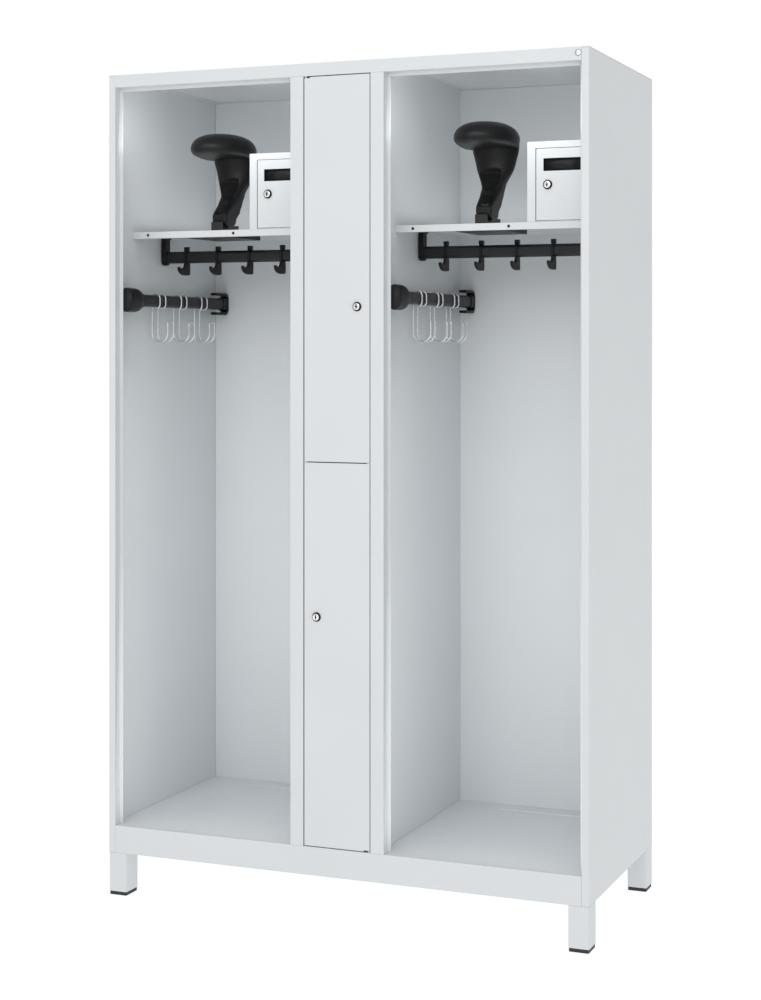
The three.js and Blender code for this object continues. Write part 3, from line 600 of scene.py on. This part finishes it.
def bracket_mesh(end):
    """The moulded end bracket that hangs the tube from the shelf."""
    half, top = BRACKET["half"], BRACKET["top"]
    front, back = RAIL_Y - half, RAIL_Y + half
    strap = [*arc(RAIL_Y, RAIL_Z - 8, half, 180, 360, 24), (back, top), (front, top)]
    low, high = sorted((end * BRACKET["inner"], end * BRACKET["outer"]))
    bm = bmesh.new()
    prism(bm, strap, "x", low, high)
    gusset = [(end * 220, top), (end * 210, top), (end * 220, top - 12)]
    prism(bm, gusset if end > 0 else gusset[::-1], "y", front, back)
    return mesh_in_metres("rail_bracket", bm, PLASTIC)


def make_rails():
    hook_tube = tube_mesh("hook_tube", "x", (RAIL_Y, RAIL_Z), -HOOK_TUBE_HALF, HOOK_TUBE_HALF)
    brackets = {"left": bracket_mesh(-1), "right": bracket_mesh(1)}
    cup, cradle, cap = cup_mesh(), cradle_mesh(), tube_end_mesh()
    for side in SIDES:
        at = (COMPARTMENT_X[side], 0, 0)
        soft_shading(place(f"{side}_hook_tube", hook_tube, at, CARCASS, "black_paint", [f"{side}_hook_rail"]))
        for end, mesh in brackets.items():
            round_edges(place(f"{side}_rail_bracket_{end}", mesh, at, CARCASS, "black_plastic"), 0.8 * MM)
        low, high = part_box(f"{side}_side_rail")
        long_tube = tube_mesh("side_tube", "y", (0, SIDE_RAIL_Z), low.y / MM, high.y / MM)
        at = (middle(f"{side}_side_rail").x, 0, 0)
        soft_shading(place(f"{side}_side_tube", long_tube, at, CARCASS, "black_paint", [f"{side}_side_rail"]))
        place(f"{side}_moulded_cup", cup, at, CARCASS, "black_plastic", [f"{side}_rail_cup"])
        held = place(f"{side}_moulded_cradle", cradle, at, CARCASS, "black_plastic", [f"{side}_rail_cradle"])
        round_edges(held, 1.5 * MM)
        round_edges(place(f"{side}_tube_end", cap, at, CARCASS, "black_plastic"), 1.5 * MM)


def soft_shading(piece):
    """Rounds a tube's ends a little and keeps its long walls smooth."""
    return round_edges(piece, 0.4 * MM, segments=2, angle=60)


def cup_mesh():
    """The bell behind the front flange that the side tube starts in."""
    profile = smooth_line([(0.97, 0), (1.0, 3), (1.0, 20), (0.985, 36), (0.94, 46), (0.84, 54), (0.70, 60),
                           (0.61, 64), (0.585, 72)], 4)
    wide, high = CUP["half_width"], CUP["half_height"]
    loops = [[(wide * share * u, CUP["front"] + along, SIDE_RAIL_Z + high * share * v) for u, v in circle(72)]
             for share, along in profile]
    bm = bmesh.new()
    rings(bm, loops)
    return mesh_in_metres("rail_cup", bm, PLASTIC)


def cradle_mesh():
    """A C on the back wall, open to the front, that holds the rear end of the tube."""
    front = CRADLE["front"]
    high, low = SIDE_RAIL_Z + CRADLE["half"], SIDE_RAIL_Z - CRADLE["half"]
    wall = CRADLE["wall"]

    def bend(inset):
        radius = CRADLE["round"] - inset / 2
        y = CRADLE["rear"] - inset - radius
        z = CRADLE["half"] - inset - radius
        return [*arc(y, SIDE_RAIL_Z - z, radius, 270, 360, 12), *arc(y, SIDE_RAIL_Z + z, radius, 0, 90, 12)]

    outer = [(front, low), *bend(0), (front, high)]
    inner = [(front, high - wall), *reversed(bend(wall)), (front, low + wall)]
    bm = bmesh.new()
    prism(bm, [*outer, *inner], "x", -CRADLE["half_width"], CRADLE["half_width"])
    return mesh_in_metres("rail_cradle", bm, PLASTIC)


def tube_end_mesh():
    """The cap on the rear end of the side tube."""
    bm = bmesh.new()
    outline = oval(0, SIDE_RAIL_Z, TUBE_CAP["width"], TUBE_CAP["height"])
    prism(bm, outline, "y", TUBE_CAP["front"], TUBE_CAP["rear"])
    return mesh_in_metres("tube_end", bm, PLASTIC)


# ---- Sliding hooks ----
HOOK_HALF = 3.0
KNOB_HALF = 5
HOOK_CLEARANCE = 0.4


def sliding_hook_mesh():
    """A loop round the tube with a knob on top, and a prong that points to the front and up."""
    y, z = RAIL_Y, RAIL_Z
    loop = oval(y, z + 0.8, TUBE["width"] + 6, TUBE["height"] + 7)
    hole = oval(y, z, TUBE["width"] + 2 * HOOK_CLEARANCE, TUBE["height"] + 2 * HOOK_CLEARANCE)
    body = smooth_line([(y - 10.5, z - 14), (y - 11, z - 19), (y - 15, z - 24.5), (y - 22, z - 27),
                        (y - 30, z - 27), (y - 37.5, z - 23.5)], 5)
    prong = smooth_line([(y - 41, z - 26), (y - 38, z - 33), (y - 30, z - 39), (y - 18, z - 42.5),
                         (y - 4, z - 43), (y + 8, z - 42)], 5)
    bm = bmesh.new()
    prism(bm, loop, "x", -HOOK_HALF, HOOK_HALF)
    hook = scratch(bm)
    bm = bmesh.new()
    prism(bm, [*body, *prong, (y + 10.5, z - 39), (y + 10.5, z - 14)], "x", -HOOK_HALF, HOOK_HALF)
    combine(hook, scratch(bm), "UNION")
    bm = bmesh.new()
    block(bm, (-KNOB_HALF, KNOB_HALF), (y - KNOB_HALF, y + KNOB_HALF), (z + 15.5, z + 24.5))
    combine(hook, scratch(bm), "UNION")
    bm = bmesh.new()
    prism(bm, hole, "x", -KNOB_HALF - 2, KNOB_HALF + 2)
    combine(hook, scratch(bm), "DIFFERENCE")
    return moulded("sliding_hook", hook, PLASTIC, voxel=0.5, passes=2, keep=0.4)


def make_hooks():
    mesh = sliding_hook_mesh()
    for side in SIDES:
        for i in range(1, 6):
            name = f"{side}_hook_{i}"
            place(f"{side}_moulded_hook_{i}", mesh, (middle(name).x, 0, 0), name, "black_plastic", [name])


# ---- Wire hooks ----
WIRE = {"radius": 1.75, "strand": 13, "reach": 10.3, "drop": 95.5, "bend": 20.7, "tip": 48}


def wire_hook_mesh():
    """One wire: two strands clip over the tube, hang down on the wall side and end in a joined J."""
    strand, reach, drop, bend = WIRE["strand"], WIRE["reach"], WIRE["drop"], WIRE["bend"]
    shoulder = (TUBE["height"] - TUBE["width"]) / 2
    tip_x, tip_z = 2 * bend - reach, WIRE["tip"] - drop
    half = [
        *arc(0, -shoulder, reach, -60, 0, 3),
        *arc(0, shoulder, reach, 0, 180, 6),
        (-reach, -drop * 0.3), (-reach, -drop * 0.55),
        *arc(bend - reach, bend - drop, bend, 180, 360, 8),
        (tip_x, tip_z - 8),
    ]
    near = [(x, -strand, z) for x, z in half]
    far = [(x, strand, z) for x, z in reversed(half)]
    under = (3.2, -shoulder - reach + 0.6)
    tip = [(tip_x, y, tip_z + rise) for y, rise in ((-strand + 3, -1), (0, 0), (strand - 3, -1))]
    route = [(under[0], 0, under[1]), (under[0], -strand + 4, under[1]), *near, *tip, *far,
             (under[0], strand - 4, under[1]), (under[0], 0.5, under[1])]
    bm = bmesh.new()
    sweep(bm, smooth_path(route, 4), WIRE["radius"], 12)
    return mesh_in_metres("wire_hook", bm, ZINC)


def make_wire_hooks():
    mesh = wire_hook_mesh()
    for side in SIDES:
        x = middle(f"{side}_side_rail").x
        for i in range(1, 4):
            name = f"{side}_wire_hook_{i}"
            at = (x, middle(name).y, SIDE_RAIL_Z * MM)
            place(f"{side}_bent_wire_{i}", mesh, at, name, "zinc_wire", [name])


# ---- Locks, letter slots, screws and badge ----
LOCK_RADIUS = 7.4
DOOR_PLUG_RADIUS = 7
BOX_PLUG_RADIUS = 5.5
BOX_DOOR_FRONT = -150
SCREW_X = (-193.5, 27)
SCREW_Z = 1494
BADGE_RADIUS = 6.5
BADGE_X = 541.6
BADGE_Z = 1837.6


def lock_face(name, lock, door, at):
    """A black collar on the door, and a bright round face with its keyway on the turning plug."""
    radius = LOCK_RADIUS
    proud = radius * 0.62
    ring = radius * 1.38
    collar = bmesh.new()
    turned(collar, "y", (0, 0), [(ring, 0.0), (ring, -0.9), (ring - 0.6, -1.5), (radius + 1.1, -1.9),
                                 (radius + 0.9, -proud + 0.5), (radius + 0.4, -proud + 0.2),
                                 (radius - 1, -proud + 0.2), (radius - 1, 0.0)], 64)
    mesh = mesh_in_metres(f"{name}_collar", collar, PLASTIC)
    soft_shading(place(f"{name}_collar", mesh, at, door, "black_plastic"))
    face = bmesh.new()
    turned(face, "y", (0, 0), [(radius - 0.2, -proud + 1.5), (radius, -proud), (radius - 0.6, -proud - 0.6),
                               (radius * 0.5, -proud - 0.75)], 64)
    mesh = mesh_in_metres(f"{name}_face", face, CHROME)
    soft_shading(place(f"{name}_face", mesh, at, lock, "lock_chrome"))
    key = bmesh.new()
    turned(key, "y", (0, 0), [(radius * 0.30, -proud), (radius * 0.30, -proud - 1.0)], 32)
    block(key, (-1.0, 1.0), (-proud - 1.0, -proud), (-radius * 0.66, radius * 0.66))
    place(f"{name}_keyway", mesh_in_metres(f"{name}_keyway", key, KEYWAY), at, lock, "lock_chrome")
    set_finish(lock, CHROME)


def lock_place(node, plug_radius, front):
    """Where the plug's axis meets the door: the cam hangs below it, so the box's top tells its height."""
    low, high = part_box(node)
    return ((low.x + high.x) / 2, front, high.z - plug_radius * MM)


def make_locks():
    for door in ("upper_door", "lower_door"):
        at = lock_place(f"{door}_lock", DOOR_PLUG_RADIUS, CAD_FRONT)
        lock_face(f"{door}_cam", f"{door}_lock", door, at)
    for side in SIDES:
        at = lock_place(f"{side}_valuables_lock", BOX_PLUG_RADIUS, BOX_DOOR_FRONT * MM)
        lock_face(f"{side}_box_cam", f"{side}_valuables_lock", f"{side}_valuables_door", at)


def make_slot_shade_plates():
    """A black plate behind the letter slot of each valuables door: painted shade, standing in for the dark
    inside of the box.
    """
    bm = bmesh.new()
    block(bm, (-49, 49), (-146.5, -145.3), (1604, 1640))
    mesh = mesh_in_metres("slot_shade_plate", bm, PLASTIC)
    for side in SIDES:
        at = (middle(f"{side}_valuables_door").x, 0, 0)
        place(f"{side}_slot_shade_plate", mesh, at, f"{side}_valuables_door", "black_plastic")


def make_shelf_screws():
    """Two dark screws in the front lip of each shelf."""
    bm = bmesh.new()
    for x in SCREW_X:
        turned(bm, "y", (x, SCREW_Z), [(1.3, -149), (3.2, -150.1), (3.0, -150.9), (1.2, -151.3)], 24)
    mesh = mesh_in_metres("shelf_screws", bm, PLASTIC)
    for side in SIDES:
        place(f"{side}_shelf_screws", mesh, (COMPARTMENT_X[side], 0, 0), CARCASS, "black_plastic")


def make_badge():
    """A plain round stud in the right end of the header."""
    radius = BADGE_RADIUS
    at = (BADGE_X * MM, CAD_FRONT, BADGE_Z * MM)
    stud = bmesh.new()
    inner = radius - 0.8
    turned(stud, "y", (0, 0), [(inner, 0.2), (inner, -0.9), (inner - 0.8, -1.1), (0.5, -1.2)], 48)
    place("badge_stud", mesh_in_metres("badge_stud", stud, CHROME), at, CARCASS, "lock_chrome")
    rim = bmesh.new()
    turned(rim, "y", (0, 0), [(radius, 0.2), (radius, -0.6), (inner, -0.8), (inner, 0.2)], 48)
    place("badge_rim", mesh_in_metres("badge_rim", rim, PLASTIC), at, CARCASS, "black_plastic")


make_camera()
make_stage()
finish_sheets()
make_holders()
make_rails()
make_hooks()
make_wire_hooks()
make_locks()
make_slot_shade_plates()
make_shelf_screws()
make_badge()
